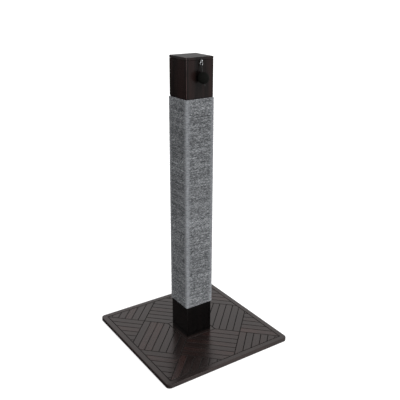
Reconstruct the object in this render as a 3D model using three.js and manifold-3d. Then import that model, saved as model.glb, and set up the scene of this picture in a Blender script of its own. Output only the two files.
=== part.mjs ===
// Cat scratching post: a square wooden post, wound with cord, on a parquet-cut base board,
// with a toy ball that hangs in front of its head.
// Millimetres, +Z up, front towards -Y. The origin is on the floor, under the middle of the base.

import * as THREE from 'three';
import { mergeVertices } from 'three/addons/utils/BufferGeometryUtils.js';
import Module from 'manifold-3d';

const wasm = await Module();
wasm.setup();

// ---- Driving dimensions -------------------------------------------------------------------

const totalHeight = 1016; // floor to the top of the cap
const seatGap = 0.3; // clearance between pieces that sit on or in each other
const mitreGap = 0.15; // glue line between two boards of the post

// Base board
const baseSide = 508;
const baseThickness = 15;
const baseCornerRadius = 15;
const baseEdgeRound = 2;
const borderWidth = 20.3; // plain band between the frame groove and the board's edge
const footFrameSide = 127; // square groove round the foot of the post
const grooveWidth = 3.2;
const grooveDepth = 2;
const blocksToCorner = 1.8; // parquet blocks from the middle of the base to the frame's corner
const slatsPerBlock = 7;

// Pads under the base
const padDiameter = 26;
const padThickness = 1.5;
const padInset = 34; // from the board's edge to a pad's middle

// Post
const postSide = 103;
const boardThickness = 12;
const postEdgeRadius = 2;
const footHeight = 117; // bare post between the base and the winding
const footBlockHeight = 60;
const headBlockHeight = 40;
const braceThickness = 12;
const capThickness = 9.5;
const capEdgeRound = 1.6;
const dowelDiameter = 6;
const dowelLength = 24;
const dowelDepthInCap = 6;
const dowelSpacing = 54;

// Cord wound on the post
const windingLength = 754; // along the post
const cordDiameter = 4;
const windingProud = 2.8; // how far the winding stands out of the post's faces
const windingCornerRadius = 1.5; // of the wood under the cord
const windingLoops = 24; // each loop of the solid stands for about eight turns of the cord
const loopGap = 0.6; // between one loop and the next
const tackShankDiameter = 1.2;
const tackShankLength = 14;
const tackHeadDiameter = 5.5;
const tackHeadThickness = 1;
const tackCrownDiameter = 3.8; // where the head's dome turns over
const tackCrownHeight = 0.7;
const tackPointLength = 2.4;
const tackX = 5; // from the middle of the back, where the cord starts and ends
const tackRise = 0.2; // the cord has climbed this far on its way to the tack

// Bolts through the base into the foot of the post
const boltDiameter = 6;
const boltLength = 32; // under the head
const boltHeadDiameter = 12;
const boltHeadHeight = 3.4;
const boltHeadRim = 2; // upright part of the head's edge
const boltHeadFace = 9; // diameter of the head's flat end
const boltSocketSize = 4; // across flats
const boltSocketDepth = 2.2;
const boltSpacing = 50;
const boltRecess = 0.8; // of the head below the board's underside
const washerDiameter = 16;
const washerThickness = 1.6;
const insertDiameter = 10;
const insertLength = 16;

// Toy
const ballDiameter = 37.4;
const toyDrop = 40; // from the ring to the middle of the ball, along the cord
const toyCordDiameter = 2.5;
const knotDiameter = 6;
const eyeMeanRadius = 4.6;
const eyeWireDiameter = 2.2;
const eyeNeck = 1.5; // between the post's face and the eye's loop
const eyeBelowTop = 12; // middle of the eye below the top of the cap
const eyeShankLength = 20; // in the wood
const eyePointLength = 5;
const ringMeanRadius = 5;
const ringWireDiameter = 1.6;

// Facets
const cornerFacets = 6; // of a rounded corner
const roundFacets = 20; // of a bolt, pad or pin
const ballFacets = 32;
const wireFacets = 8; // round the wire of the eye and the ring, and the toy's cord
const knotFacets = 12;
const arcSteps = 5; // of the winding's path at each corner of the post

// ---- Values that follow from them ---------------------------------------------------------

const baseUnderside = padThickness;
const baseTop = baseUnderside + baseThickness;
const postBottom = baseTop + seatGap;
const postTop = totalHeight - capThickness - seatGap;
const postHalf = postSide / 2;
const boreHalf = postHalf - boardThickness; // half width of the hollow inside the post
const blockSide = 2 * (boreHalf - seatGap); // of what is glued inside the hollow
const windingBottom = baseTop + footHeight;
const windingTop = windingBottom + windingLength;
const windingOuterHalf = postHalf + windingProud;
const windingMidHalf = windingOuterHalf - cordDiameter / 2;
const recessHalf = windingOuterHalf - cordDiameter - seatGap; // of the wood under the cord
const windingMidRadius = windingCornerRadius + seatGap + cordDiameter / 2;
const headBlockBottom = postTop - headBlockHeight;
const braceSpacing = windingLength / 3; // from each end of the winding to the nearest brace
const capBottom = totalHeight - capThickness;
const dowelTop = capBottom + dowelDepthInCap;
const dowelBottom = dowelTop - dowelLength;
const boltHeadBottom = baseUnderside + boltRecess;
const washerBottom = boltHeadBottom + boltHeadHeight + seatGap;
const washerSeat = washerBottom + washerThickness + seatGap; // roof of the counterbore
const boltHole = boltDiameter / 2 + seatGap; // radius of what a bolt passes through
const dowelHole = dowelDiameter / 2 + seatGap; // radius of a dowel's blind holes

// ---- Materials ----------------------------------------------------------------------------

const espressoWood = new THREE.MeshStandardMaterial({ color: 0x2d2523, roughness: 0.42, metalness: 0 });
const plainWood = new THREE.MeshStandardMaterial({ color: 0xb9976a, roughness: 0.8, metalness: 0 });
const greyCord = new THREE.MeshStandardMaterial({ color: 0x77797b, roughness: 0.95, metalness: 0 });
const blackFelt = new THREE.MeshStandardMaterial({ color: 0x131412, roughness: 0.95, metalness: 0 });
const blackCord = new THREE.MeshStandardMaterial({ color: 0x181818, roughness: 0.9, metalness: 0 });
const steel = new THREE.MeshStandardMaterial({ color: 0xa6a8aa, roughness: 0.3, metalness: 1 });
const brass = new THREE.MeshStandardMaterial({ color: 0xb5954f, roughness: 0.35, metalness: 1 });
const blackRubber = new THREE.MeshStandardMaterial({ color: 0x1a1a1a, roughness: 0.9, metalness: 0 });

// ---- Helpers ------------------------------------------------------------------------------

const post = new THREE.Group();

/** Adds one named piece to a group. */
function addPiece(name, geometry, material, parent = post) {
  const mesh = new THREE.Mesh(geometry, material);
  mesh.name = name;
  parent.add(mesh);
  return mesh;
}

/** Turns a closed geometry into a solid that can be joined and cut. */
function toSolid(geometry) {
  const bare = geometry.clone();
  bare.deleteAttribute('normal');
  bare.deleteAttribute('uv');
  const merged = mergeVertices(bare);
  const vertProperties = new Float32Array(merged.attributes.position.array);
  const triVerts = new Uint32Array(merged.index.array);
  return new wasm.Manifold(new wasm.Mesh({ numProp: 3, vertProperties, triVerts }));
}

/** Turns a solid back into a geometry. */
function toGeometry(solid) {
  const mesh = solid.getMesh();
  const geometry = new THREE.BufferGeometry();
  geometry.setAttribute('position', new THREE.BufferAttribute(new Float32Array(mesh.vertProperties), 3));
  geometry.setIndex(new THREE.BufferAttribute(new Uint32Array(mesh.triVerts), 1));
  geometry.computeVertexNormals();
  return geometry;
}

/** Outline of a square with rounded corners, centred on the origin. */
function squareShape(side, radius) {
  const inner = side / 2 - radius;
  const shape = new THREE.Shape();
  shape.absarc(inner, inner, radius, 0, Math.PI / 2);
  shape.absarc(-inner, inner, radius, Math.PI / 2, Math.PI);
  shape.absarc(-inner, -inner, radius, Math.PI, 1.5 * Math.PI);
  shape.absarc(inner, -inner, radius, 1.5 * Math.PI, 2 * Math.PI);
  return shape;
}

/** Upright prism of a shape between two heights. */
function prism(shape, bottom, top) {
  const geometry = new THREE.ExtrudeGeometry(shape, {
    depth: top - bottom,
    bevelEnabled: false,
    curveSegments: cornerFacets / 2, // an arc gets twice as many
  });
  return geometry.translate(0, 0, bottom);
}

/** Upright block with a square plan between two heights. */
function squareBlock(side, bottom, top) {
  return new THREE.BoxGeometry(side, side, top - bottom).translate(0, 0, (bottom + top) / 2);
}

/** Square board with rounded corners and rounded upper and lower edges. */
function softBoard(side, cornerRadius, edgeRound, bottom, top) {
  const geometry = new THREE.ExtrudeGeometry(squareShape(side - 2 * edgeRound, cornerRadius - edgeRound), {
    depth: top - bottom - 2 * edgeRound,
    bevelSize: edgeRound,
    bevelThickness: edgeRound,
    bevelSegments: 2,
    curveSegments: cornerFacets / 2, // an arc gets twice as many
  });
  return geometry.translate(0, 0, bottom + edgeRound);
}

/** Upright cylinder between two heights. */
function upright(radius, bottom, top, facets = roundFacets) {
  const geometry = new THREE.CylinderGeometry(radius, radius, top - bottom, facets);
  return geometry.rotateX(Math.PI / 2).translate(0, 0, (bottom + top) / 2);
}

/** Cylinder along Y between two places, at a given x and z. */
function alongY(radius, start, end, x, z, facets = roundFacets) {
  const geometry = new THREE.CylinderGeometry(radius, radius, end - start, facets);
  return geometry.translate(x, (start + end) / 2, z);
}

/** The four places of a square pattern, in order round the middle. */
function squarePattern(spacing) {
  const half = spacing / 2;
  return [[-half, -half], [half, -half], [half, half], [-half, half]];
}

// ---- Base board ---------------------------------------------------------------------------

/** Upright bar along a line on the base, of a given width, between two heights. */
function bar(from, to, width, bottom, top) {
  const along = to.clone().sub(from);
  const geometry = new THREE.BoxGeometry(along.length(), width, top - bottom);
  geometry.rotateZ(along.angle());
  geometry.translate((from.x + to.x) / 2, (from.y + to.y) / 2, (bottom + top) / 2);
  return toSolid(geometry);
}

/** Raised slats of the parquet: blocks of slats on a grid at 45 degrees, turned in every other block. */
function parquetSlats(frameSide) {
  const block = (frameSide / 2) * Math.SQRT2 / blocksToCorner;
  const pitch = block / slatsPerBlock;
  const rows = Math.ceil(blocksToCorner);
  const margin = grooveWidth / 2 / block; // from a block's edge to the ends of its slats
  const place = (u, v) => new THREE.Vector2((u + v) * block / Math.SQRT2, (v - u) * block / Math.SQRT2);
  const slats = [];
  for (let i = -rows; i < rows; i++) {
    for (let j = -rows; j < rows; j++) {
      for (let slat = 0; slat < slatsPerBlock; slat++) {
        const middle = (slat + 0.5) / slatsPerBlock;
        const runsAlongV = (i + j) % 2 === 0;
        const start = runsAlongV ? place(i + middle, j + margin) : place(i + margin, j + middle);
        const end = runsAlongV ? place(i + middle, j + 1 - margin) : place(i + 1 - margin, j + middle);
        slats.push(bar(start, end, pitch - grooveWidth, baseTop - 2 * grooveDepth, baseTop));
      }
    }
  }
  return wasm.Manifold.union(slats);
}

/** The base board with its grooves, its bolt holes and their counterbores. */
function baseBoard() {
  const frameSide = baseSide - 2 * borderWidth;
  const [floor, high] = [baseTop - grooveDepth, baseTop + grooveDepth];
  const field = toSolid(squareBlock(frameSide + grooveWidth, floor, high));
  const footPlateau = toSolid(squareBlock(footFrameSide - grooveWidth, 0, totalHeight));
  const slatField = toSolid(squareBlock(frameSide - grooveWidth, 0, totalHeight));
  const footField = toSolid(squareBlock(footFrameSide + grooveWidth, 0, totalHeight));
  const slats = parquetSlats(frameSide).intersect(slatField).subtract(footField);
  let board = toSolid(softBoard(baseSide, baseCornerRadius, baseEdgeRound, baseUnderside, baseTop));
  board = board.subtract(field.subtract(footPlateau)).add(slats);
  const counterbore = washerDiameter / 2 + seatGap;
  for (const [x, y] of squarePattern(boltSpacing)) {
    const hole = upright(boltHole, -padThickness, baseTop + grooveDepth).translate(x, y, 0);
    const pocket = upright(counterbore, -padThickness, washerSeat).translate(x, y, 0);
    board = board.subtract(toSolid(hole)).subtract(toSolid(pocket));
  }
  return toGeometry(board);
}

addPiece('base_board', baseBoard(), espressoWood);

squarePattern(baseSide - 2 * padInset).forEach(([x, y], i) => {
  const pad = upright(padDiameter / 2, 0, padThickness - seatGap);
  addPiece(`base_pad_${i + 1}`, pad, blackRubber).position.set(x, y, 0);
});

// ---- Post ---------------------------------------------------------------------------------

/** Hollow square post, turned down where the cord is wound, before it is split into boards. */
function hollowPost() {
  const outline = squareShape(postSide, postEdgeRadius);
  const body = toSolid(prism(outline, postBottom, postTop));
  const bore = toSolid(squareBlock(2 * boreHalf, 0, totalHeight));
  const around = toSolid(squareBlock(2 * postSide, windingBottom, windingTop));
  const core = toSolid(prism(squareShape(2 * recessHalf, windingCornerRadius), 0, totalHeight));
  return body.subtract(around.subtract(core)).subtract(bore);
}

/** Wedge that holds the front board's share of the post, between two mitres. */
function frontWedge() {
  const apex = mitreGap / Math.SQRT2;
  const shape = new THREE.Shape([
    new THREE.Vector2(0, -apex),
    new THREE.Vector2(-postSide, -postSide - apex),
    new THREE.Vector2(postSide, -postSide - apex),
  ]);
  return prism(shape, 0, totalHeight);
}

const eyeY = -(postHalf + eyeNeck + eyeWireDiameter / 2 + eyeMeanRadius);
const eyeZ = totalHeight - eyeBelowTop;
const eyeHoleEnd = eyeShankLength - postHalf + seatGap;
const eyeHole = toSolid(alongY(eyeWireDiameter / 2 + seatGap, eyeY, eyeHoleEnd, 0, eyeZ));

const tackHoleRadius = tackShankDiameter / 2 + seatGap;
const tackInset = cordDiameter / 2 + tackRise;
const tackHeights = [windingBottom + tackInset, windingTop - tackInset];
const tackSides = [-1, 1]; // the cord sets out from the middle of the back towards -X, and ends from +X
const tackHoles = tackHeights.map((z, i) => toSolid(
  alongY(tackHoleRadius, 0, 2 * postSide, tackSides[i] * tackX, z),
));

const shell = hollowPost();
['front', 'right', 'back', 'left'].forEach((side, i) => {
  const wedge = toSolid(frontWedge().rotateZ(i * Math.PI / 2));
  let board = shell.intersect(wedge);
  if (side === 'front') board = board.subtract(eyeHole);
  if (side === 'back') tackHoles.forEach((hole) => { board = board.subtract(hole); });
  addPiece(`post_board_${side}`, toGeometry(board), espressoWood);
});

/** Block inside the foot, bored for the threaded inserts and the ends of the bolts. */
function footBlock() {
  let block = toSolid(squareBlock(blockSide, postBottom, postBottom + footBlockHeight));
  const boltTip = washerBottom - seatGap + boltLength;
  for (const [x, y] of squarePattern(boltSpacing)) {
    const socket = upright(insertDiameter / 2 + seatGap, 0, postBottom + insertLength + 2 * seatGap);
    const bore = upright(boltHole, 0, boltTip + boltDiameter);
    block = block.subtract(toSolid(socket.translate(x, y, 0))).subtract(toSolid(bore.translate(x, y, 0)));
  }
  return toGeometry(block);
}

/** Square spacer inside the hollow of the post. */
function brace(middle) {
  return squareBlock(blockSide, middle - braceThickness / 2, middle + braceThickness / 2);
}

/** Block inside the head, bored for the dowels of the cap and the shank of the eye. */
function headBlock() {
  let block = toSolid(squareBlock(blockSide, headBlockBottom, postTop)).subtract(eyeHole);
  for (const [x, y] of squarePattern(dowelSpacing)) {
    const bore = upright(dowelHole, dowelBottom - seatGap, totalHeight);
    block = block.subtract(toSolid(bore.translate(x, y, 0)));
  }
  return toGeometry(block);
}

/** Cap on the post, with blind holes for the dowels. */
function topCap() {
  let cap = toSolid(softBoard(postSide, postEdgeRadius, capEdgeRound, capBottom, totalHeight));
  for (const [x, y] of squarePattern(dowelSpacing)) {
    const bore = upright(dowelHole, postBottom, dowelTop + seatGap);
    cap = cap.subtract(toSolid(bore.translate(x, y, 0)));
  }
  return toGeometry(cap);
}

addPiece('foot_block', footBlock(), plainWood);
addPiece('post_brace_lower', brace(windingBottom + braceSpacing), plainWood);
addPiece('post_brace_upper', brace(windingTop - braceSpacing), plainWood);
addPiece('head_block', headBlock(), plainWood);
addPiece('top_cap', topCap(), espressoWood);

squarePattern(dowelSpacing).forEach(([x, y], i) => {
  const dowel = upright(dowelDiameter / 2, dowelBottom, dowelTop);
  addPiece(`cap_dowel_${i + 1}`, dowel, plainWood).position.set(x, y, 0);
});

// ---- Bolts, washers and inserts in the foot -----------------------------------------------

/** Pan-head bolt with a hexagon socket, head down, its head's underside at z = 0. */
function bolt() {
  const radius = boltDiameter / 2;
  const headRadius = boltHeadDiameter / 2;
  const profile = [
    new THREE.Vector2(0, -boltHeadHeight),
    new THREE.Vector2(boltHeadFace / 2, -boltHeadHeight),
    new THREE.Vector2(headRadius, -boltHeadRim),
    new THREE.Vector2(headRadius, 0),
    new THREE.Vector2(radius, 0),
    new THREE.Vector2(radius, boltLength - radius / 2),
    new THREE.Vector2(radius / 2, boltLength),
    new THREE.Vector2(0, boltLength),
  ];
  const body = new THREE.LatheGeometry(profile, roundFacets).rotateX(Math.PI / 2);
  const socketRadius = boltSocketSize / Math.sqrt(3);
  const socket = upright(socketRadius, -2 * boltHeadHeight, boltSocketDepth - boltHeadHeight, 6);
  return toGeometry(toSolid(body).subtract(toSolid(socket)));
}

/** Flat ring with a hole, between two heights. */
function flatRing(outerRadius, innerRadius, bottom, top) {
  const outline = new THREE.Shape().absarc(0, 0, outerRadius, 0, 2 * Math.PI);
  outline.holes.push(new THREE.Path().absarc(0, 0, innerRadius, 0, 2 * Math.PI, true));
  const geometry = new THREE.ExtrudeGeometry(outline, {
    depth: top - bottom,
    bevelEnabled: false,
    curveSegments: roundFacets / 2,
  });
  return geometry.translate(0, 0, bottom);
}

squarePattern(boltSpacing).forEach(([x, y], i) => {
  const washer = flatRing(washerDiameter / 2, boltHole, washerBottom, washerBottom + washerThickness);
  const insertBottom = postBottom + seatGap;
  const insert = flatRing(insertDiameter / 2, boltHole, insertBottom, insertBottom + insertLength);
  addPiece(`foot_bolt_${i + 1}`, bolt(), steel).position.set(x, y, washerBottom - seatGap);
  addPiece(`foot_washer_${i + 1}`, washer, steel).position.set(x, y, 0);
  addPiece(`foot_insert_${i + 1}`, insert, brass).position.set(x, y, 0);
});

// ---- Cord wound round the post ------------------------------------------------------------

const loopSteps = 4 * (arcSteps + 1);

/** Plan of one loop: places and outward directions, from the middle of the back, anticlockwise. */
function loopPlan() {
  const inner = windingMidHalf - windingMidRadius;
  const middle = { x: 0, y: windingMidHalf, angle: Math.PI / 2, travel: 0 };
  const corners = [];
  for (let corner = 0; corner < 4; corner++) {
    const centreAngle = Math.PI * (0.75 + corner / 2);
    const centreX = Math.sign(Math.cos(centreAngle)) * inner;
    const centreY = Math.sign(Math.sin(centreAngle)) * inner;
    for (let step = 0; step <= arcSteps; step++) {
      const angle = Math.PI / 2 * (1 + corner + step / arcSteps);
      corners.push({
        x: centreX + windingMidRadius * Math.cos(angle),
        y: centreY + windingMidRadius * Math.sin(angle),
        angle,
      });
    }
  }
  let travel = 0;
  let last = middle;
  for (const place of corners) {
    travel += Math.hypot(place.x - last.x, place.y - last.y);
    place.travel = travel;
    last = place;
  }
  const perimeter = travel + Math.hypot(middle.x - last.x, middle.y - last.y);
  return { middle, corners, perimeter };
}

/** The winding as one unbroken flattened tube, trimmed level at its lower and upper ends. */
function windingRings() {
  const { middle, corners, perimeter } = loopPlan();
  const pitch = (windingLength - 2 * cordDiameter - loopGap) / (windingLoops - 1);
  const places = [{ ...middle, turn: 0 }];
  for (let loop = 0; loop < windingLoops; loop++) {
    corners.forEach((place) => places.push({ ...place, turn: loop + place.travel / perimeter }));
  }
  places.push({ ...middle, turn: windingLoops });
  return places.map(({ x, y, angle, turn }) => {
    const climbed = windingBottom + cordDiameter + loopGap + pitch * turn;
    const low = Math.max(windingBottom, climbed - pitch);
    const high = Math.min(windingTop, climbed - loopGap);
    const edge = Math.min(cordDiameter / 2, (high - low) / 4); // slimmer where a loop is trimmed
    const outX = Math.cos(angle);
    const outY = Math.sin(angle);
    const point = (out, z) => new THREE.Vector3(x + outX * out, y + outY * out, z);
    const half = cordDiameter / 2;
    return [
      point(0, low), point(half, low + edge), point(half, high - edge),
      point(0, high), point(-half, high - edge), point(-half, low + edge),
    ];
  });
}

/** Closed tube through rings of points, with a flat cap at each end. */
function tubeThrough(rings) {
  const sides = rings[0].length;
  const triangles = [];
  for (let i = 0; i + 1 < rings.length; i++) {
    for (let side = 0; side < sides; side++) {
      const next = (side + 1) % sides;
      const [a, b] = [i * sides + side, i * sides + next];
      const [c, d] = [a + sides, b + sides];
      triangles.push(a, c, b, b, c, d);
    }
  }
  const lastRing = (rings.length - 1) * sides;
  for (let side = 1; side + 1 < sides; side++) {
    triangles.push(0, side, side + 1);
    triangles.push(lastRing, lastRing + side + 1, lastRing + side);
  }
  const geometry = new THREE.BufferGeometry().setFromPoints(rings.flat());
  geometry.setIndex(triangles);
  return geometry;
}

/** Least distance between points of neighbouring loops. */
function leastLoopGap(rings) {
  let least = Infinity;
  for (let i = 0; i + loopSteps / 2 < rings.length; i++) {
    const end = Math.min(rings.length, i + 2 * loopSteps);
    for (let j = i + loopSteps / 2; j < end; j++) {
      for (const a of rings[i]) {
        for (const b of rings[j]) least = Math.min(least, a.distanceTo(b));
      }
    }
  }
  return least;
}

const rings = windingRings();
console.log(`least gap between loops of the winding: ${leastLoopGap(rings).toFixed(3)} mm`);
let winding = toSolid(tubeThrough(rings));
tackHoles.forEach((hole) => { winding = winding.subtract(hole); });
addPiece('cord_winding', toGeometry(winding), greyCord);

/** Tack with a low domed head, driven towards -Y, the underside of its head at y = 0. */
function tack() {
  const headRadius = tackHeadDiameter / 2;
  const shankRadius = tackShankDiameter / 2;
  const profile = [
    new THREE.Vector2(0, -tackShankLength),
    new THREE.Vector2(shankRadius, tackPointLength - tackShankLength),
    new THREE.Vector2(shankRadius, 0),
    new THREE.Vector2(headRadius, 0),
    new THREE.Vector2(tackCrownDiameter / 2, tackCrownHeight),
    new THREE.Vector2(0, tackHeadThickness),
  ];
  return new THREE.LatheGeometry(profile, roundFacets / 2);
}

['cord_tack_bottom', 'cord_tack_top'].forEach((name, i) => {
  const seat = windingOuterHalf + seatGap; // underside of the head
  addPiece(name, tack(), steel).position.set(tackSides[i] * tackX, seat, tackHeights[i]);
});

// ---- Screw eye, ring and toy --------------------------------------------------------------

/** Screw eye: a closed loop in the YZ plane on a pointed shank that runs into the wood. */
function screwEye() {
  const wire = eyeWireDiameter / 2;
  const loop = new THREE.TorusGeometry(eyeMeanRadius, wire, wireFacets, roundFacets).rotateY(Math.PI / 2);
  const shankEnd = eyeShankLength - postHalf - eyeY;
  const profile = [
    new THREE.Vector2(0, eyeMeanRadius),
    new THREE.Vector2(wire, eyeMeanRadius),
    new THREE.Vector2(wire, shankEnd - eyePointLength),
    new THREE.Vector2(0, shankEnd),
  ];
  const shank = new THREE.LatheGeometry(profile, roundFacets / 2);
  return toGeometry(toSolid(loop).add(toSolid(shank)));
}

const eyeSaddleZ = eyeZ - eyeMeanRadius; // middle of the eye's lowest wire, where the ring hangs
const ringRise = eyeWireDiameter / 2 + seatGap + ringWireDiameter / 2;
const ringZ = eyeSaddleZ + ringRise - ringMeanRadius;
const ringBottomZ = ringZ - ringMeanRadius; // where the cord's loop hangs
const ballRadius = ballDiameter / 2;
const ballY = -(postHalf + seatGap + ballRadius);
const toyLean = Math.asin((eyeY - ballY) / toyDrop); // the ball rests on the post's face

addPiece('screw_eye', screwEye(), steel).position.set(0, eyeY, eyeZ);

const ring = new THREE.TorusGeometry(ringMeanRadius, ringWireDiameter / 2, wireFacets, roundFacets);
addPiece('toy_ring', ring.rotateX(Math.PI / 2), steel).position.set(0, eyeY, ringZ);

const toy = new THREE.Group();
toy.position.set(0, eyeY, ringBottomZ);
toy.rotation.x = -toyLean;
post.add(toy);

/** Cord of the toy: a loop round the ring, a run down through the ball, and a knot under it. */
function toyCord() {
  const radius = toyCordDiameter / 2;
  const loopRadius = ringWireDiameter / 2 + seatGap + radius;
  const loop = new THREE.TorusGeometry(loopRadius, radius, wireFacets, roundFacets).rotateY(Math.PI / 2);
  const knotRadius = knotDiameter / 2;
  const knotZ = -(toyDrop + ballRadius + seatGap + knotRadius);
  const run = upright(radius, knotZ, -loopRadius, wireFacets);
  const knot = new THREE.SphereGeometry(knotRadius, knotFacets, wireFacets).translate(0, 0, knotZ);
  return toGeometry(toSolid(loop).add(toSolid(run)).add(toSolid(knot)));
}

/** Ball with a bore for the cord, centred on the origin. */
function toyBall() {
  const boreRadius = toyCordDiameter / 2 + seatGap;
  const boreAngle = Math.asin(boreRadius / ballRadius);
  const profile = [];
  const steps = ballFacets / 2;
  for (let step = 0; step <= steps; step++) {
    const angle = -Math.PI / 2 + boreAngle + (Math.PI - 2 * boreAngle) * step / steps;
    profile.push(new THREE.Vector2(ballRadius * Math.cos(angle), ballRadius * Math.sin(angle)));
  }
  profile.push(profile[0].clone());
  return new THREE.LatheGeometry(profile, ballFacets).rotateX(Math.PI / 2);
}

addPiece('toy_cord', toyCord(), blackCord, toy);
addPiece('toy_ball', toyBall(), blackFelt, toy).position.set(0, 0, -toyDrop);

export default post;
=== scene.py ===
"""Cat scratching post: a square dark wood post, wound with thin grey cord, on a parquet-cut base board,
with a toy ball in front of its head. Everything is in metres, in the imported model's own frame."""

import math
import random

import bmesh
import bpy
import numpy as np
from mathutils import Matrix, Vector, noise


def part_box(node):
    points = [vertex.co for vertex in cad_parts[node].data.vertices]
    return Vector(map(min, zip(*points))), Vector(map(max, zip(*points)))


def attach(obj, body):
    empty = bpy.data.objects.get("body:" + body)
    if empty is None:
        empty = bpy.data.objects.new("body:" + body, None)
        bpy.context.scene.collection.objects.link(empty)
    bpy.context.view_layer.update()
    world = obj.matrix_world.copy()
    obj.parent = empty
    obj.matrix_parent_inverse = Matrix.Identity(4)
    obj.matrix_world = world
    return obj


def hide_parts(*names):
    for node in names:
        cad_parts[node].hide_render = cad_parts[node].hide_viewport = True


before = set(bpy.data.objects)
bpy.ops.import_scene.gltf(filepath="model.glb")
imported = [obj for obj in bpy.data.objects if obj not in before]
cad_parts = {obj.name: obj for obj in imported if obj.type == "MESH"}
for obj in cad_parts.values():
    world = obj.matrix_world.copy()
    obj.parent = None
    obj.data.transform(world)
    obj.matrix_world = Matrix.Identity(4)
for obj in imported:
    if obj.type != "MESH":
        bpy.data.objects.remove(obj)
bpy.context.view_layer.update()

MM = 0.001

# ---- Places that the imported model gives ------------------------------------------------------

BASE_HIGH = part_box("base_board")[1]
POST_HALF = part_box("top_cap")[1].x
WINDING_LOW, WINDING_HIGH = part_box("cord_winding")
BALL_LOW, BALL_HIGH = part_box("toy_ball")
RING_LOW, RING_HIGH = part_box("toy_ring")

# ---- Sizes of the wood -----------------------------------------------------------------------

BLOCKS_TO_CORNER = 1.8  # parquet blocks from the base's middle to the frame groove's corner
SLATS_PER_BLOCK = 7
BORDER = 20.3 * MM  # plain band between the frame groove and the board's edge
GROOVE_DEPTH = 2 * MM
FOOT_FRAME_SIDE = 127 * MM  # square groove round the foot of the post
BASE_EDGE = 0.6 * MM  # width of the base's eased edges
BOARD_EDGE = 0.05 * MM  # the same on the post's boards
CAP_EDGE = 0.3 * MM  # and on its cap
EDGE_SEGMENTS = 2
CORNER_HIGHLIGHT_WIDTH = 1.3 * MM  # width of the painted highlight along each corner, on each face of the post

# ---- Sizes of the winding --------------------------------------------------------------------

CORD_DIAMETER = 4.0 * MM
CORD_PITCH = 4.05 * MM  # between turns of the winding
CORD_SIDES = 12
CORD_STRANDS = 3
CORD_TWIST = 9.0 * MM  # along the cord for one turn of its strands
CORD_FLUFF = 0.7 * MM  # how much thicker the loose outside makes the cord, away from the post
CORD_SINK = 0.15 * MM  # how far a turn may lie nearer to the post than it should, or twice that farther
CORD_STRAY = 0.18 * MM  # how far a turn may lie above or below its place
CORD_END_DENT = 1.1 * MM  # how far the tacks press the cord's two ends in
WINDING_CORNER = 3.0 * MM  # radius of the cord's middle line at the post's corners
CORNER_STEPS = 3
FACE_STEPS = 4  # from a corner of the post to the middle of a face

FIBRES = 6000
FIBRE_CORNER_SHARE = 0.35  # of the fibres that stand near a corner
FIBRE_CORNER_INSET = 2 * MM
FIBRE_CORNER_SPREAD = 4 * MM
FIBRE_FACE_SHARE = 0.95  # of a face's width that the other fibres cover
FIBRE_MARGIN = 3 * MM  # from the winding's ends
FIBRE_LENGTHS = 5 * MM, 13 * MM
FIBRE_LEAN = 0.35  # radians up or down
FIBRE_LIFTS = 0.1 * MM, 0.9 * MM  # how far the middle of a fibre bows out
FIBRE_RADII = 0.05 * MM, 0.11 * MM
FIBRE_TAPER = 0.8  # of its radius, half way along
FIBRE_DEPTH = 1.6  # of its radius, outwards

# ---- Sizes of the toy ------------------------------------------------------------------------

SEAT_GAP = 0.3 * MM  # between pieces that sit on or in each other
TOY_RING_WIRE = 1.6 * MM
TOY_CORD_DIAMETER = 2.5 * MM
TOY_CORD_TWIST = 3.2 * MM
TOY_CORD_GROOVES = 0.12  # depth between its strands, as a share of its radius
TOY_CORD_SIDES = 12
TOY_CORD_RINGS = 160  # steps of its mesh
TOY_LOOP_STEPS = 48
KNOT_DIAMETER = 6.0 * MM
KNOT_RINGS = 18
KNOT_SIDES = 24
KNOT_HEIGHT = 0.9  # of its width
KNOT_GROOVES = 0.13  # depth, as a share of its radius
KNOT_LAY = 1.5  # turn of the grooves for each radian from end to end
WHIPPING_SIZE = 1.5  # cord radii
WHIPPING_PLACE = 0.035  # share of the way down the cord

BALL_MIDDLE = (BALL_LOW + BALL_HIGH) / 2
BALL_RADIUS = (BALL_HIGH.x - BALL_LOW.x) / 2
BALL_DETAIL = 5  # subdivisions
BALL_LUMPS = (2.3, 0.010), (9.0, 0.006), (42.0, 0.006)  # how many in a radius, and how many radii high
LUMP_LIMIT = 0.008  # lumps are cut at this height, and the ball is as much smaller, to keep its size
DIMPLE_WIDTH = 0.10  # radians, where the cord goes in and comes out
DIMPLE_DEPTH = 0.05  # of the radius
NAP_FIBRES = 5000
NAP_ROOT = 0.97  # of the radius
NAP_RISE = 0.6 * MM
NAP_REACH = 0.9 * MM  # sideways
NAP_RADIUS = 0.07 * MM

# Middle of the ring's lowest wire, where the cord's loop hangs
RING_BOTTOM = Vector((0, (RING_LOW.y + RING_HIGH.y) / 2, RING_LOW.z + TOY_RING_WIRE / 2))
TOY_DOWN = (BALL_MIDDLE - RING_BOTTOM).normalized()  # the way the cord hangs, against the post's face

# ---- Colours, as linear red, green and blue --------------------------------------------------

BASE_GRAIN = (0.0055, 0.0034, 0.0030), (0.0165, 0.0105, 0.0094)  # the grain's dark and light streaks
POST_GRAIN = (0.0016, 0.0011, 0.0010), (0.0062, 0.0039, 0.0035)
PINE_GRAIN = (0.30, 0.17, 0.075), (0.56, 0.38, 0.19)
SLAT_TONES = (0.7, 0.7, 0.7), (1.1, 1.0, 1.0), (2.3, 1.45, 1.35)  # multiply the grain
GROOVE_DIRT = (0.0030, 0.0024, 0.0022)
WOOD_SHINE = (1.0, 0.90, 0.88)
# painted highlight: the lighter colour along the post's corners
CORNER_HIGHLIGHT_COLOUR = (0.070, 0.043, 0.043)
RUDDY_WOOD = (0.0125, 0.0060, 0.0055)
CORD_COLOURS = (0.036, 0.038, 0.041), (0.112, 0.116, 0.122), (0.30, 0.31, 0.32)
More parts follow.
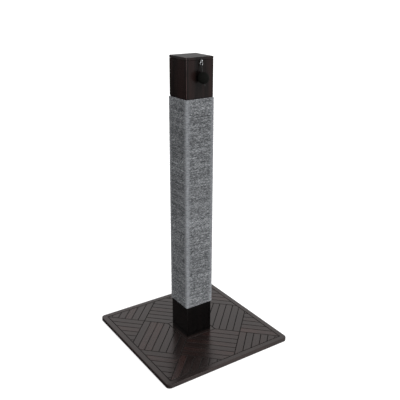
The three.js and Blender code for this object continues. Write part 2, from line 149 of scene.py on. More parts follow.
# painted highlight: the cord's paler colour at the post's corners
CORD_HIGHLIGHT = (0.215, 0.223, 0.236)
FIBRE_COLOURS = (0.06, 0.062, 0.066), (0.30, 0.31, 0.32)
FELT_COLOURS = (0.0006, 0.0007, 0.0005), (0.0034, 0.0037, 0.0028)
BLACK_CORD_COLOURS = (0.004, 0.004, 0.004), (0.016, 0.016, 0.016)
RUBBER_COLOURS = (0.008, 0.008, 0.008), (0.016, 0.016, 0.016)
ZINC = (0.46, 0.47, 0.48)
BRASS = (0.46, 0.30, 0.09)
FLOOR_COLOUR = (0.55, 0.55, 0.55)
FLOOR_LIGHT = (1.0, 1.0, 1.0)

# ---- Camera ----------------------------------------------------------------------------------

CAMERA_PLACE = Vector((-1.0468, -1.6108, 1.2411))
CAMERA_AZIMUTH = math.radians(33.92)  # turned from +Y towards +X
CAMERA_PITCH = math.radians(20.46)  # below the horizon
CAMERA_ROLL = math.radians(0.27)
CAMERA_LENS = 53.15
CAMERA_SENSOR = 36.0
CAMERA_SIGHT = 0.01, 100.0  # nearest and farthest


def make_camera():
    """The camera at the photograph's place, looking where it looked."""
    data = bpy.data.cameras.new("camera")
    data.lens = CAMERA_LENS
    data.sensor_width = CAMERA_SENSOR
    data.sensor_fit = "HORIZONTAL"
    data.clip_start, data.clip_end = CAMERA_SIGHT
    camera = bpy.data.objects.new("camera", data)
    bpy.context.scene.collection.objects.link(camera)
    level = math.cos(CAMERA_PITCH)
    ahead, across = math.cos(CAMERA_AZIMUTH) * level, math.sin(CAMERA_AZIMUTH) * level
    forward = Vector((across, ahead, -math.sin(CAMERA_PITCH)))
    right = forward.cross(Vector((0, 0, 1))).normalized()
    up = right.cross(forward)
    rolled_right = right * math.cos(CAMERA_ROLL) + up * math.sin(CAMERA_ROLL)
    rolled_up = up * math.cos(CAMERA_ROLL) - right * math.sin(CAMERA_ROLL)
    turn = Matrix((rolled_right, rolled_up, -forward)).transposed()
    camera.matrix_world = Matrix.Translation(CAMERA_PLACE) @ turn.to_4x4()
    bpy.context.scene.camera = camera


make_camera()


# ---- Helpers for meshes ----------------------------------------------------------------------

SAME_POINT = 0.001 * MM  # points nearer than this are one
SAME_PLANE = math.radians(1.0)  # faces that meet at less than this are one
SHARP_EDGE = math.radians(25)  # edges that turn by more than this are eased


def place_object(name, mesh):
    """An object of the mesh, in the scene."""
    piece = bpy.data.objects.new(name, mesh)
    bpy.context.scene.collection.objects.link(piece)
    return piece


def add_object(name, vertices, faces, body, slot):
    """A smooth mesh object from points and faces, riding on a body."""
    mesh = bpy.data.meshes.new(name)
    mesh.from_pydata([tuple(v) for v in vertices], [], [tuple(f) for f in faces])
    mesh.validate()
    mesh.update()
    mesh.polygons.foreach_set("use_smooth", np.ones(len(mesh.polygons), bool))
    piece = place_object(name, mesh)
    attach(piece, body)
    return piece


def paint(piece, material):
    """Gives the piece one material."""
    if piece.data.materials:
        for index in range(len(piece.data.materials)):
            piece.data.materials[index] = material
    else:
        piece.data.materials.append(material)


def join_points(mesh, flatten=False):
    """Joins points that lie in one place, and if asked also faces that lie in one plane."""
    shape = bmesh.new()
    shape.from_mesh(mesh)
    bmesh.ops.remove_doubles(shape, verts=shape.verts, dist=SAME_POINT)
    if flatten:
        bmesh.ops.dissolve_limit(
            shape,
            angle_limit=SAME_PLANE,
            verts=shape.verts,
            edges=shape.edges,
            use_dissolve_boundaries=False,
        )
    shape.to_mesh(mesh)
    shape.free()


def is_flat(normal):
    """True on level faces, and on upright ones that look along X or Y or midway between them."""
    turn = math.degrees(math.atan2(normal.y, normal.x))
    off_eighth = abs(turn - 45 * round(turn / 45))
    return abs(normal.z) > 0.999 or (abs(normal.z) < 0.02 and off_eighth < 0.5)


def bevelled_copy(node, name, width):
    """A copy of a wooden node in its place, with its flat faces joined and its sharp edges eased."""
    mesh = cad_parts[node].data.copy()
    mesh.name = name
    mesh.materials.clear()
    join_points(mesh, flatten=True)
    piece = place_object(name, mesh)
    bevel = piece.modifiers.new("edges", "BEVEL")
    bevel.width = width
    bevel.segments = EDGE_SEGMENTS
    bevel.limit_method = "ANGLE"
    bevel.angle_limit = SHARP_EDGE
    bevel.use_clamp_overlap = True
    apply_modifiers(piece)
    for polygon in piece.data.polygons:
        polygon.use_smooth = not is_flat(polygon.normal)
    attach(piece, "root")
    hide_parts(node)
    return piece


def apply_modifiers(piece):
    """Turns the piece's modifiers into its mesh."""
    bpy.context.view_layer.update()
    evaluated = piece.evaluated_get(bpy.context.evaluated_depsgraph_get())
    mesh = bpy.data.meshes.new_from_object(evaluated)
    piece.modifiers.clear()
    piece.data = mesh


def float_attribute(mesh, name, domain, values):
    """Stores one number for each face or point."""
    attribute = mesh.attributes.new(name, "FLOAT", domain)
    attribute.data.foreach_set("value", np.asarray(values, np.float32))


def points_round(place, side, up, sides, radius_at):
    """Points round a place, in the plane of two unit vectors; the radius depends on the angle."""
    points = []
    for step in range(sides):
        angle = 2 * math.pi * step / sides
        radius = radius_at(angle)
        points.append(place + side * (math.cos(angle) * radius) + up * (math.sin(angle) * radius))
    return points


def faces_between(rings, sides, closed=False):
    """Faces that join each ring of points to the next one, and the last to the first if closed."""
    faces = []
    for k in range(rings if closed else rings - 1):
        here = k * sides
        there = (k + 1) % rings * sides
        for s in range(sides):
            after = (s + 1) % sides
            faces.append((here + s, there + s, there + after, here + after))
    return faces


def end_faces(rings, sides):
    """The two faces that close a tube's ends."""
    last = (rings - 1) * sides
    return [tuple(range(sides)), tuple(range(last, last + sides))[::-1]]


# ---- Helper for materials --------------------------------------------------------------------


class Nodes:
    """Short hand for the node tree of a material, or of a world."""

    def __init__(self, name, owners=bpy.data.materials, shader="Principled BSDF"):
        self.owner = owners.new(name)
        self.owner.use_nodes = True
        self.tree = self.owner.node_tree
        self.shader = self.tree.nodes[shader]

    def add(self, kind, **settings):
        node = self.tree.nodes.new(kind)
        for key, value in settings.items():
            setattr(node, key, value)
        return node

    def link(self, source, target):
        self.tree.links.new(source, target)

    def position(self):
        return self.add("ShaderNodeTexCoord").outputs["Object"]

    def attribute(self, name):
        return self.add("ShaderNodeAttribute", attribute_name=name).outputs["Fac"]

    def split(self, vector):
        """The vector's three numbers."""
        node = self.add("ShaderNodeSeparateXYZ")
        self.link(vector, node.inputs[0])
        return node.outputs

    def math(self, operation, *values, clamp=False):
        node = self.add("ShaderNodeMath", operation=operation, use_clamp=clamp)
        for socket, value in zip(node.inputs, values):
            if isinstance(value, (int, float)):
                socket.default_value = value
            else:
                self.link(value, socket)
        return node.outputs[0]

    def mix(self, factor, a, b, blend="MIX"):
        node = self.add("ShaderNodeMix", data_type="RGBA", blend_type=blend)
        for socket, value in ((node.inputs[0], factor), (node.inputs[6], a), (node.inputs[7], b)):
            if isinstance(value, (int, float)):
                socket.default_value = value
            elif isinstance(value, tuple):
                socket.default_value = (*value, 1.0)
            else:
                self.link(value, socket)
        return node.outputs[2]

    def times(self, colour, other, share=1.0):
        """The colour multiplied by another, by a share of its strength."""
        return self.mix(share, colour, other, "MULTIPLY")

    def ramp(self, value, *stops):
        """Colours, or greys given as one number, at places between 0 and 1."""
        node = self.add("ShaderNodeValToRGB")
        elements = node.color_ramp.elements
        while len(elements) < len(stops):
            elements.new(0.5)
        for element, (place, colour) in zip(elements, stops):
            element.position = place
            element.color = (*colour, 1.0) if isinstance(colour, tuple) else (colour, colour, colour, 1.0)
        self.link(value, node.inputs[0])
        return node.outputs[0]

    def mapping(self, vector, scale=(1, 1, 1), rotation=(0, 0, 0)):
        node = self.add("ShaderNodeMapping")
        node.inputs["Scale"].default_value = scale
        node.inputs["Rotation"].default_value = rotation
        self.link(vector, node.inputs["Vector"])
        return node.outputs["Vector"]

    def noise(self, vector, scale, detail=3.0, roughness=0.55, distortion=0.0):
        """Smooth noise between 0 and 1, with so many spots a metre along X, Y and Z."""
        node = self.add("ShaderNodeTexNoise")
        node.inputs["Scale"].default_value = 1.0
        node.inputs["Detail"].default_value = detail
        node.inputs["Roughness"].default_value = roughness
        node.inputs["Distortion"].default_value = distortion
        self.link(self.mapping(vector, scale), node.inputs["Vector"])
        return node.outputs["Fac"]

    def bump(self, height, strength, distance, normal=None):
        node = self.add("ShaderNodeBump")
        node.inputs["Strength"].default_value = strength
        node.inputs["Distance"].default_value = distance
        self.link(height, node.inputs["Height"])
        if normal:
            self.link(normal, node.inputs["Normal"])
        return node.outputs["Normal"]

    def shade(self, **values):
        """Sets the shader's sockets, each to a value or from a node, and gives the material."""
        for key, value in values.items():
            socket = self.shader.inputs[key.replace("_", " ")]
            if isinstance(value, bpy.types.NodeSocket):
                self.link(value, socket)
            elif isinstance(value, tuple):
                socket.default_value = (*value, 1.0)
            else:
                socket.default_value = value
        return self.owner


# ---- Materials -------------------------------------------------------------------------------

BASE_ROUGHNESS = 0.15
POST_ROUGHNESS = 0.20
CAP_ROUGHNESS = 0.45
STREAK_ROUGHNESS = 0.10  # what a light streak of the grain adds
SLAT_ROUGHNESS = 0.08  # what a light slat adds
GROOVE_ROUGHNESS = 0.95
FOOT_PAINTED_SHADE = 0.12  # painted shade at the post's foot and painted light at its head, as multipliers of its own colour
HEAD_PAINTED_LIGHT = 1.2


def wood_colour(nodes, vector, grain):
    """Colour, streaks and pores of wood whose grain runs along the vector's X axis."""
    dark, light = grain
    streaks = nodes.noise(vector, (14, 240, 240), 5.0, 0.6, 0.15)
    pores = nodes.noise(vector, (60, 1400, 1400), 3.0, 0.6)
    clouds = nodes.noise(vector, (5, 14, 14), 2.0)
    mixed = nodes.math("ADD", nodes.math("MULTIPLY", streaks, 0.6), nodes.math("MULTIPLY", clouds, 0.4))
    colour = nodes.ramp(mixed, (0.36, dark), (0.66, light))
    fine = nodes.ramp(pores, (0.35, 0.6), (0.6, 1.0))
    return nodes.times(colour, fine, 0.6), streaks, pores


def parquet_wood():
    """Dark satin wood of the base: the grain runs along each slat, and slats differ a little."""
    nodes = Nodes("parquet_wood")
    place = nodes.position()
    slat_tone = nodes.attribute("slat_tone")
    turn = nodes.add("ShaderNodeVectorRotate", rotation_type="Z_AXIS")
    nodes.link(place, turn.inputs["Vector"])
    nodes.link(nodes.attribute("grain_turn"), turn.inputs["Angle"])
    shift = nodes.add("ShaderNodeVectorMath", operation="ADD")
    nodes.link(turn.outputs[0], shift.inputs[0])
    nodes.link(slat_tone, shift.inputs[1])
    colour, streaks, pores = wood_colour(nodes, shift.outputs[0], BASE_GRAIN)
    dark, middle, red = SLAT_TONES
    toned = nodes.times(colour, nodes.ramp(slat_tone, (0.0, dark), (0.6, middle), (1.0, red)))
    patch = nodes.ramp(nodes.noise(place, (9, 9, 9), 2.0), (0.4, 0.25), (0.65, 1.0))
    colour = nodes.mix(patch, colour, toned)
    groove = nodes.attribute("groove")
    colour = nodes.mix(groove, colour, GROOVE_DIRT)
    rough = nodes.math("MULTIPLY_ADD", streaks, STREAK_ROUGHNESS, BASE_ROUGHNESS)
    rough = nodes.math("MULTIPLY_ADD", slat_tone, SLAT_ROUGHNESS, rough)
    rough = nodes.math("MAXIMUM", rough, nodes.math("MULTIPLY", groove, GROOVE_ROUGHNESS))
    normal = nodes.bump(pores, 0.05, 0.2 * MM)
    return nodes.shade(Base_Color=colour, Roughness=rough, Normal=normal, IOR=1.5, Specular_Tint=WOOD_SHINE)


def post_wood(name, roughness):
    """Dark satin wood of the post: upright grain with ruddy bands, painted shade darkening it towards the
    foot, and a painted highlight along its corners.
    """
    nodes = Nodes(name)
    place = nodes.position()
    upright = nodes.mapping(place, rotation=(0, math.pi / 2, 0))
    colour, streaks, pores = wood_colour(nodes, upright, POST_GRAIN)
    away = nodes.add("ShaderNodeVectorMath", operation="ABSOLUTE")
    nodes.link(place, away.inputs[0])
    x, y, z = nodes.split(away.outputs[0])
    # painted highlight: a lighter colour, in patches, along the post's corners
    corner_highlight_mask = nodes.math("GREATER_THAN", nodes.math("MINIMUM", x, y), POST_HALF - CORNER_HIGHLIGHT_WIDTH)
    highlight_patches = nodes.ramp(nodes.noise(place, (60, 60, 22)), (0.35, 0.2), (0.65, 0.75))
    colour = nodes.mix(nodes.math("MULTIPLY", corner_highlight_mask, highlight_patches), colour, CORNER_HIGHLIGHT_COLOUR)
    band = nodes.ramp(nodes.noise(place, (36, 36, 2.5), 2.0), (0.42, 0.0), (0.62, 1.0))
    colour = nodes.mix(nodes.math("MULTIPLY", band, 0.48), colour, RUDDY_WOOD)
    # painted shade and light: the post's colour darkens towards its foot and lightens towards its head
    height = nodes.math("DIVIDE", z, BALL_LOW.z, clamp=True)
    colour = nodes.times(colour, nodes.ramp(height, (0.15, FOOT_PAINTED_SHADE), (0.95, HEAD_PAINTED_LIGHT)))
    rough = nodes.math("MULTIPLY_ADD", streaks, STREAK_ROUGHNESS, roughness)
    normal = nodes.bump(pores, 0.05, 0.2 * MM)
    return nodes.shade(Base_Color=colour, Roughness=rough, Normal=normal, IOR=1.38, Specular_IOR_Level=0.3)


def raw_wood():
    """Unfinished pine of the blocks inside."""
    nodes = Nodes("raw_wood")
    colour, streaks, _ = wood_colour(nodes, nodes.position(), PINE_GRAIN)
    return nodes.shade(Base_Color=colour, Roughness=0.8, Normal=nodes.bump(streaks, 0.3, 0.6 * MM))


def cord_material():
    """Grey twisted cord: slanting strands with painted shade between them, flecks of light and dark fibre,
    and a painted highlight at the post's corners.
    """
    nodes = Nodes("grey_cord")
    uv = nodes.split(nodes.add("ShaderNodeUVMap", uv_map="cord").outputs[0])
    turns = nodes.math("ADD", uv[0], uv[1])
    lay = nodes.math("MULTIPLY", turns, CORD_STRANDS * math.pi)
    strand = nodes.math("ABSOLUTE", nodes.math("SINE", lay))
    place = nodes.position()
    fleck = nodes.noise(place, (140, 140, 340), 4.0, 0.75)
    patch = nodes.noise(place, (10, 10, 34), 3.0, 0.6)
    fuzz = nodes.noise(place, (700, 700, 1100), 3.0, 0.7)
    dark, grey, pale = CORD_COLOURS
    colour = nodes.ramp(fleck, (0.34, dark), (0.50, grey), (0.66, pale))
    # painted shade: the colour darkens in the grooves between the strands
    colour = nodes.times(colour, nodes.ramp(strand, (0.0, 0.5), (0.5, 1.0)))
    colour = nodes.times(colour, nodes.ramp(fuzz, (0.3, 0.65), (0.7, 1.3)))
    colour = nodes.times(colour, nodes.ramp(patch, (0.3, 0.82), (0.7, 1.2)))
    colour = nodes.times(colour, nodes.ramp(nodes.attribute("turn_tone"), (0.0, 0.70), (1.0, 1.30)))
    # painted highlight: the cord turns paler, in flecks, at the post's corners
    highlight_at_corner = nodes.math("MULTIPLY", nodes.attribute("highlight_at_corner"), nodes.ramp(fleck, (0.36, 0.35), (0.6, 1.0)))
    colour = nodes.mix(highlight_at_corner, colour, CORD_HIGHLIGHT)
    normal = nodes.bump(strand, 0.6, 1.2 * MM)
    normal = nodes.bump(fuzz, 0.4, 0.6 * MM, normal)
    return nodes.shade(Base_Color=colour, Roughness=0.95, Normal=normal, Specular_IOR_Level=0.15)


def fibre_material():
    """Loose fibres of the grey cord."""
    nodes = Nodes("grey_fibre")
    dark, pale = FIBRE_COLOURS
    colour = nodes.ramp(nodes.noise(nodes.position(), (90, 90, 90), 2.0), (0.35, dark), (0.65, pale))
    return nodes.shade(Base_Color=colour, Roughness=0.9)


def felt_material():
    """Near-black felt of the ball."""
    nodes = Nodes("black_felt")
    tuft = nodes.noise(nodes.position(), (700, 700, 700), 4.0, 0.7)
    dark, pale = FELT_COLOURS
    colour = nodes.ramp(tuft, (0.3, dark), (0.7, pale))
    normal = nodes.bump(tuft, 0.6, 1.2 * MM)
    return nodes.shade(Base_Color=colour, Roughness=0.9, Normal=normal, Specular_IOR_Level=0.1)


def black_cord_material():
    """Thin black cord of the toy."""
    nodes = Nodes("black_cord")
    tuft = nodes.noise(nodes.position(), (1500, 1500, 500), 3.0, 0.7)
    dark, pale = BLACK_CORD_COLOURS
    colour = nodes.ramp(tuft, (0.3, dark), (0.7, pale))
    return nodes.shade(Base_Color=colour, Roughness=0.9, Normal=nodes.bump(tuft, 0.5, 0.8 * MM))


def metal_material(name, colour, roughness):
    """Plated metal with fine scratches."""
    nodes = Nodes(name)
    scratch = nodes.noise(nodes.position(), (400, 2600, 400), 3.0, 0.6)
    rough = nodes.math("MULTIPLY_ADD", scratch, 0.2, roughness)
    tone = nodes.ramp(scratch, (0.3, tuple(0.86 * part for part in colour)), (0.7, colour))
    return nodes.shade(Base_Color=tone, Roughness=rough, Metallic=1.0)


def rubber_material():
    """Black rubber of the pads."""
    nodes = Nodes("pad_rubber")
    grit = nodes.noise(nodes.position(), (900, 900, 900), 2.0)
    dark, pale = RUBBER_COLOURS
    colour = nodes.ramp(grit, (0.3, dark), (0.7, pale))
    return nodes.shade(Base_Color=colour, Roughness=0.85, Normal=nodes.bump(grit, 0.3, 0.5 * MM))


# ---- Wood and hardware -----------------------------------------------------------------------

GROOVE_BAND = 0.5 * MM, 1.25 * GROOVE_DEPTH  # depths of the middles of the faces in a groove
PLAIN_TONE = 0.5  # of the border and of the square under the post


def scattered(column, row, slat):
    """A number between 0 and 1 for each slat, which looks random and is always the same."""
    return (np.sin(column * 12.9898 + row * 78.233 + slat * 37.719) * 43758.5453) % 1.0


def dress_base():
    """The base board; each face knows the way of its grain, its slat's tone and if it is in a groove."""
    piece = bevelled_copy("base_board", "parquet_base", BASE_EDGE)
    mesh = piece.data
    x, y, z = np.array([polygon.center for polygon in mesh.polygons]).T
    frame_half = BASE_HIGH.x - BORDER
    block = frame_half * math.sqrt(2) / BLOCKS_TO_CORNER
    u = (x - y) / math.sqrt(2) / block  # blocks along one diagonal of the base, and v along the other
    v = (x + y) / math.sqrt(2) / block
    column, row = np.floor(u), np.floor(v)
    along_v = (column + row) % 2 == 0
    slat = np.floor(np.where(along_v, u - column, v - row) * SLATS_PER_BLOCK)
    reach = np.maximum(abs(x), abs(y))
    depth = BASE_HIGH.z - z
    shallow, deep = GROOVE_BAND
    groove = (depth > shallow) & (depth < deep) & (reach < frame_half + 2 * GROOVE_DEPTH)
    plain = (reach > frame_half) | (reach < FOOT_FRAME_SIDE / 2)
    turn = np.where(along_v, -math.pi / 4, math.pi / 4)
    turn = np.where(plain, np.where(abs(x) > abs(y), math.pi / 2, 0.0), turn)
    float_attribute(mesh, "grain_turn", "FACE", turn)
    float_attribute(mesh, "slat_tone", "FACE", np.where(plain, PLAIN_TONE, scattered(column, row, slat)))
    float_attribute(mesh, "groove", "FACE", groove)
    paint(piece, parquet_wood())


def dress_post():
    """Eased edges and upright grain on the post's boards and cap."""
    material = post_wood("post_wood", POST_ROUGHNESS)
    for side in ("front", "back", "left", "right"):
        paint(bevelled_copy(f"post_board_{side}", f"board_{side}", BOARD_EDGE), material)
    paint(bevelled_copy("top_cap", "cap", CAP_EDGE), post_wood("cap_wood", CAP_ROUGHNESS))


def dress_hardware():
    """Finishes of the pieces that keep their own shape."""
    zinc = metal_material("zinc_steel", ZINC, 0.28)
    brass = metal_material("plain_brass", BRASS, 0.30)
    rubber = rubber_material()
    pine = raw_wood()
    for name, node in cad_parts.items():
        if name.startswith(("foot_bolt", "foot_washer", "cord_tack", "screw_eye", "toy_ring")):
            paint(node, zinc)
        elif name.startswith("foot_insert"):
            paint(node, brass)
        elif name.startswith("base_pad"):
            paint(node, rubber)
        elif name.startswith(("foot_block", "post_brace", "head_block", "cap_dowel")):
            paint(node, pine)


# ---- Winding ---------------------------------------------------------------------------------


def winding_plan():
    """One turn seen from above, from the middle of the back: x, y, outward angle, and 1 at a corner."""
    inner = WINDING_HIGH.x - CORD_DIAMETER / 2 - WINDING_CORNER
    plan = []
    for corner in range(4):
        toward = math.pi * (0.75 + corner / 2)  # from the post's middle to the corner
        centre = Vector((math.copysign(inner, math.cos(toward)), math.copysign(inner, math.sin(toward))))
        for step in range(FACE_STEPS + CORNER_STEPS + FACE_STEPS):
            arc_step = min(max(step - FACE_STEPS, 0), CORNER_STEPS)
            angle = math.pi / 2 * (1 + corner + arc_step / CORNER_STEPS)
            flat_steps = step - FACE_STEPS - arc_step  # before the corner if below zero, and after if above
            outward = Vector((math.cos(angle), math.sin(angle)))
            along = Vector((-outward.y, outward.x))
            place = centre + outward * WINDING_CORNER + along * (inner * flat_steps / FACE_STEPS)
            plan.append((place.x, place.y, angle, float(flat_steps == 0)))
    return np.array(plan)


def uneven(count, knots_apart, low, high, seed):
    """Random numbers between two limits, one every few steps, with straight lines between them."""
    dice = np.random.default_rng(seed)
    knots = dice.uniform(low, high, count // knots_apart + 2)
    return np.interp(np.arange(count) / knots_apart, np.arange(len(knots)), knots)


def cord_points(x, y, z, angle, out):
    """Points round the cord, ring after ring: fluffed away from the post, touching the next turns."""
    points = np.zeros((len(x), CORD_SIDES, 3))
    for side in range(CORD_SIDES):
        around = 2 * math.pi * side / CORD_SIDES
        reach = out + CORD_DIAMETER / 2 * math.cos(around) + CORD_FLUFF * max(0.0, math.cos(around))
        points[:, side, 0] = x + np.cos(angle) * reach
        points[:, side, 1] = y + np.sin(angle) * reach
        points[:, side, 2] = z + CORD_PITCH / 2 * math.sin(around)
    return points.reshape(-1, 3).tolist()


def add_cord_uv(mesh, run):
    """Texture places on the cord: twists along it and the share of the way round it."""
    corners = np.zeros(len(mesh.loops), np.int64)
    mesh.loops.foreach_get("vertex_index", corners)
    ring, side = corners // CORD_SIDES, corners % CORD_SIDES
    sizes = np.zeros(len(mesh.polygons), np.int64)
    mesh.polygons.foreach_get("loop_total", sizes)
    face = np.repeat(np.arange(len(sizes)), sizes)
    on_seam = np.zeros(len(sizes), bool)  # faces that reach back from the last side to the first
    np.logical_or.at(on_seam, face, side == CORD_SIDES - 1)
    full_turn = on_seam[face] & (side == 0)
    places = np.stack([run[ring] / CORD_TWIST, side / CORD_SIDES + full_turn], 1)
    mesh.uv_layers.new(name="cord").data.foreach_set("uv", places.astype(np.float32).ravel())


def wind_cord():
    """The real winding: one cord in close turns round the post, each a little out of line."""
    plan = winding_plan()
    count = len(plan)
    bottom = WINDING_LOW.z + CORD_DIAMETER / 2
    top = WINDING_HIGH.z - CORD_DIAMETER / 2
    rings = round((top - bottom) / CORD_PITCH) * count + 1
    index = np.arange(rings)
    x, y, angle, highlight_at_corner = plan[index % count].T
    z = bottom + (top - bottom) * index / (rings - 1)
    z = z + uneven(rings, count // 4, -CORD_STRAY, CORD_STRAY, seed=7)
    out = uneven(rings, count // 8, -CORD_SINK, 2 * CORD_SINK, seed=8)
    out[[0, -1]] = -CORD_END_DENT
    tone = uneven(rings, count // 3, 0.0, 1.0, seed=9)
    faces = faces_between(rings, CORD_SIDES) + end_faces(rings, CORD_SIDES)
    piece = add_object("wound_cord", cord_points(x, y, z, angle, out), faces, "root", "grey_cord")
    run = np.concatenate(([0.0], np.cumsum(np.hypot(np.diff(x), np.diff(y)))))
    add_cord_uv(piece.data, run)
    # painted highlight: marks the points at the post's corners, where the cord is painted paler
    float_attribute(piece.data, "highlight_at_corner", "POINT", np.repeat(highlight_at_corner, CORD_SIDES))
    float_attribute(piece.data, "turn_tone", "POINT", np.repeat(tone, CORD_SIDES))
    paint(piece, cord_material())
    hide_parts("cord_winding")


def add_fibre(vertices, faces, start, end, side, out, radius, bow=0.0):
    """Adds one closed three-sided fibre, bowed outwards in the middle and pointed at its end.

    Its faces point outwards where side, out and the way back from end to start are right-handed."""
    base = len(vertices)
    middle = (start + end) / 2 + out * bow
    for place, width in ((start, radius), (middle, FIBRE_TAPER * radius)):
        vertices += [place + side * width, place - side * width, place + out * FIBRE_DEPTH * width]
    vertices.append(end)
    for k in range(3):
        after = (k + 1) % 3
        faces.append((base + k, base + after, base + 3 + after, base + 3 + k))
        faces.append((base + 3 + k, base + 3 + after, base + 6))
    faces.append((base + 2, base + 1, base))


def loose_fibres():
    """Short fibres that stand off the cord, thicker set at the corners."""
    dice = random.Random(11)
    half = WINDING_HIGH.x
    skin = half + CORD_FLUFF - CORD_SINK  # just inside the cord's outer face
    vertices, faces = [], []
    for _ in range(FIBRES):
        turn = Matrix.Rotation(dice.randrange(4) * math.pi / 2, 3, "Z")
        if dice.random() < FIBRE_CORNER_SHARE:
            inset = abs(dice.gauss(0, FIBRE_CORNER_SPREAD)) + FIBRE_CORNER_INSET
            across = math.copysign(half - inset, dice.random() - 0.5)
        else:
            across = dice.uniform(-half, half) * FIBRE_FACE_SHARE
        z = dice.uniform(WINDING_LOW.z + FIBRE_MARGIN, WINDING_HIGH.z - FIBRE_MARGIN)
        length = dice.uniform(*FIBRE_LENGTHS)
        lean = dice.uniform(-FIBRE_LEAN, FIBRE_LEAN)
        way = dice.choice((-1, 1))
        lift = dice.uniform(*FIBRE_LIFTS)
        radius = dice.uniform(*FIBRE_RADII)
        end_x = max(-half, min(half, across + way * math.cos(lean) * length))
        start = Vector((across, -skin, z))
        end = Vector((end_x, -skin - lift / 2, z + math.sin(lean) * length))
        side, out = Vector((0, 0, -way)), turn @ Vector((0, -1, 0))
        add_fibre(vertices, faces, turn @ start, turn @ end, side, out, radius, lift)
    paint(add_object("loose_fibres", vertices, faces, "root", "grey_cord"), fibre_material())


# ---- Toy -------------------------------------------------------------------------------------


def toy_cord_ends():
    """The cord's two ends: under the ring, and in the knot below the ball."""
    start = RING_BOTTOM + TOY_DOWN * (TOY_RING_WIRE / 2 + SEAT_GAP + TOY_CORD_DIAMETER / 2)
    end = BALL_MIDDLE + TOY_DOWN * (BALL_RADIUS + SEAT_GAP + KNOT_DIAMETER / 2)
    return start, end


def straight_path(start, end, steps):
    """Points from start to end, evenly spaced."""
    return [start.lerp(end, step / steps) for step in range(steps + 1)]


def toy_cord_radius(angle, run):
    """Radius of the twisted cord, by the angle round it and the distance along it."""
    lay = angle * CORD_STRANDS + 2 * math.pi * run / TOY_CORD_TWIST
    return TOY_CORD_DIAMETER / 2 * (1 - TOY_CORD_GROOVES * abs(math.sin(lay / 2)))


def cord_tube(path, side_at, closed=False):
    """Twisted cord along points in the YZ plane; side_at gives where its first side looks."""
    vertices = []
    count = len(path)
    run = 0.0
    for k, place in enumerate(path):
        before, after = k - 1, (k + 1) % count
        if not closed:
            before, after = max(k - 1, 0), min(k + 1, count - 1)
        forward = (path[after] - path[before]).normalized()
        if k:
            run += (place - path[k - 1]).length
        side = side_at(forward)
        up = side.cross(forward)
        vertices += points_round(place, side, up, TOY_CORD_SIDES, lambda angle: toy_cord_radius(angle, run))
    faces = faces_between(count, TOY_CORD_SIDES, closed)
    if not closed:
        faces += end_faces(count, TOY_CORD_SIDES)
    return vertices, faces


def knot_mesh(place, size):
    """Overhand knot, as a lump with the turns of the cord winding round it."""
    vertices = []
    side = TOY_DOWN.cross(Vector((1, 0, 0))).normalized()
    up = side.cross(TOY_DOWN)
    for ring in range(KNOT_RINGS + 1):
        polar = math.pi * ring / KNOT_RINGS
        centre = place - TOY_DOWN * (math.cos(polar) * size * KNOT_HEIGHT)

        def radius_at(angle):
            ridge = abs(math.sin(polar * KNOT_LAY + angle))
            return size * math.sin(polar) * (1 - KNOT_GROOVES + KNOT_GROOVES * ridge)

        vertices += points_round(centre, side, up, KNOT_SIDES, radius_at)
    return vertices, faces_between(KNOT_RINGS + 1, KNOT_SIDES)


def make_toy_cord():
    """The cord that the ball hangs on, with its loop round the ring and its knot under the ball."""
    start, end = toy_cord_ends()
    x_axis = Vector((1, 0, 0))
    tube = cord_tube(straight_path(start, end, TOY_CORD_RINGS), lambda forward: forward.cross(x_axis))
    cord = add_object("toy_cord_line", *tube, "toy", "black_cord")
    loop_radius = (TOY_RING_WIRE + TOY_CORD_DIAMETER) / 2 + SEAT_GAP
    loop_path = []
    for step in range(TOY_LOOP_STEPS):
        angle = 2 * math.pi * step / TOY_LOOP_STEPS
        loop_path.append(RING_BOTTOM + Vector((0, math.sin(angle), -math.cos(angle))) * loop_radius)
    tube = cord_tube(loop_path, lambda forward: x_axis, closed=True)
    loop = add_object("toy_cord_loop", *tube, "toy", "black_cord")
    knot = add_object("toy_cord_knot", *knot_mesh(end, KNOT_DIAMETER / 2), "toy", "black_cord")
    whipping_size = WHIPPING_SIZE * TOY_CORD_DIAMETER / 2
    whipping_mesh = knot_mesh(start.lerp(end, WHIPPING_PLACE), whipping_size)
    whipping = add_object("toy_cord_whipping", *whipping_mesh, "toy", "black_cord")
    material = black_cord_material()
    for piece in (cord, loop, knot, whipping):
        join_points(piece.data)
        paint(piece, material)
    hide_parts("toy_cord")


def make_ball():
    """Felt ball, slightly uneven, dimpled where the cord goes through, with a short nap."""
    shape = bmesh.new()
    bmesh.ops.create_icosphere(shape, subdivisions=BALL_DETAIL, radius=BALL_RADIUS)
    for vertex in shape.verts:
        direction = vertex.co.normalized()
        lump = sum(noise.noise(direction * often) * height for often, height in BALL_LUMPS)
        polar = direction.angle(TOY_DOWN)
        from_cord = min(polar, math.pi - polar) / DIMPLE_WIDTH
        dimple = DIMPLE_DEPTH * math.exp(-(from_cord**2))
        reach = 1 + min(lump, LUMP_LIMIT) - dimple - LUMP_LIMIT
        vertex.co = BALL_MIDDLE + direction * (BALL_RADIUS * reach)
    mesh = bpy.data.meshes.new("felt_ball")
    shape.to_mesh(mesh)
    shape.free()
    mesh.polygons.foreach_set("use_smooth", np.ones(len(mesh.polygons), bool))
    ball = place_object("felt_ball", mesh)
    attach(ball, "toy")
    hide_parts("toy_ball")
    felt = felt_material()
    paint(ball, felt)
    paint(add_nap(), felt)


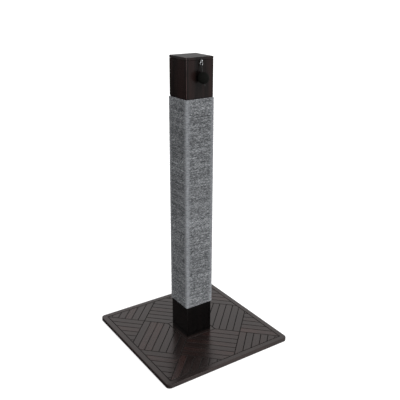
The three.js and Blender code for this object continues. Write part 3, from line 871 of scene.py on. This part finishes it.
def add_nap():
    """Short fibres all over the ball, each leaning its own way."""
    dice = random.Random(5)
    vertices, faces = [], []
    for _ in range(NAP_FIBRES):
        out = Vector([dice.gauss(0, 1) for _ in range(3)]).normalized()
        lean = Vector([dice.gauss(0, 1) for _ in range(3)])
        lean = (lean - out * lean.dot(out)).normalized()
        root = BALL_MIDDLE + out * (BALL_RADIUS * NAP_ROOT)
        end = root + out * NAP_RISE + lean * NAP_REACH
        add_fibre(vertices, faces, root, end, lean.cross(out), out, NAP_RADIUS)
    return add_object("felt_nap", vertices, faces, "toy", "black_felt")


# ---- Floor, light and world ------------------------------------------------------------------

FLOOR_REACH = 80.0
FLOOR_DROP = 0.2 * MM  # below the pads
FLOOR_GLOW = 0.63
KEY_STRENGTH = 2.7
KEY_SOFTNESS = math.radians(35)  # how wide the light looks
KEY_HEIGHT = math.radians(35)  # above the horizon
KEY_AZIMUTH = math.radians(6)  # from the front towards the right
WORLD_TOP = 0.40
WORLD_LOW_FRONT = 0.70
WORLD_LOW_BACK = 0.03


def make_stage():
    """Plain pale floor, a soft light from the front, and a studio that is bright round its walls."""
    mesh = bpy.data.meshes.new("floor")
    corners = [(x * FLOOR_REACH, y * FLOOR_REACH, 0) for x, y in ((-1, -1), (1, -1), (1, 1), (-1, 1))]
    mesh.from_pydata(corners, [], [(0, 1, 2, 3)])
    floor = place_object("floor", mesh)
    floor.location.z = -FLOOR_DROP
    floor.visible_glossy = False
    glow = {"Emission_Color": FLOOR_LIGHT, "Emission_Strength": FLOOR_GLOW}
    paint(floor, Nodes("pale_floor").shade(Base_Color=FLOOR_COLOUR, Roughness=0.9, **glow))
    light = bpy.data.lights.new("key_light", "SUN")
    light.energy = KEY_STRENGTH
    light.angle = KEY_SOFTNESS
    key = place_object("key_light", light)
    key.rotation_euler = (math.pi / 2 - KEY_HEIGHT, 0, KEY_AZIMUTH)
    scene = bpy.context.scene
    scene.world = studio_world()
    scene.view_settings.view_transform = "Standard"
    scene.view_settings.look = "None"


def studio_world():
    """White at the horizon's height, grey above, and below it dimmer in front and dark at the back left."""
    nodes = Nodes("studio", bpy.data.worlds, "Background")
    x, y, z = nodes.split(nodes.add("ShaderNodeTexCoord").outputs["Generated"])
    height = nodes.math("MULTIPLY_ADD", z, 0.5, 0.5)
    to_front = nodes.math("ADD", nodes.math("MULTIPLY", x, 0.3), nodes.math("MULTIPLY", y, -0.4))
    to_front = nodes.math("ADD", to_front, 0.5, clamp=True)
    low = nodes.ramp(to_front, (0.25, WORLD_LOW_BACK), (0.9, WORLD_LOW_FRONT))
    high = nodes.ramp(height, (0.82, 1.0), (0.94, WORLD_TOP))
    above = nodes.ramp(height, (0.475, 0.0), (0.4925, 1.0))
    return nodes.shade(Color=nodes.mix(above, low, high), Strength=1.0)


# ---- Build -----------------------------------------------------------------------------------

make_toy_cord()
make_ball()
dress_base()
dress_post()
wind_cord()
loose_fibres()
dress_hardware()
make_stage()
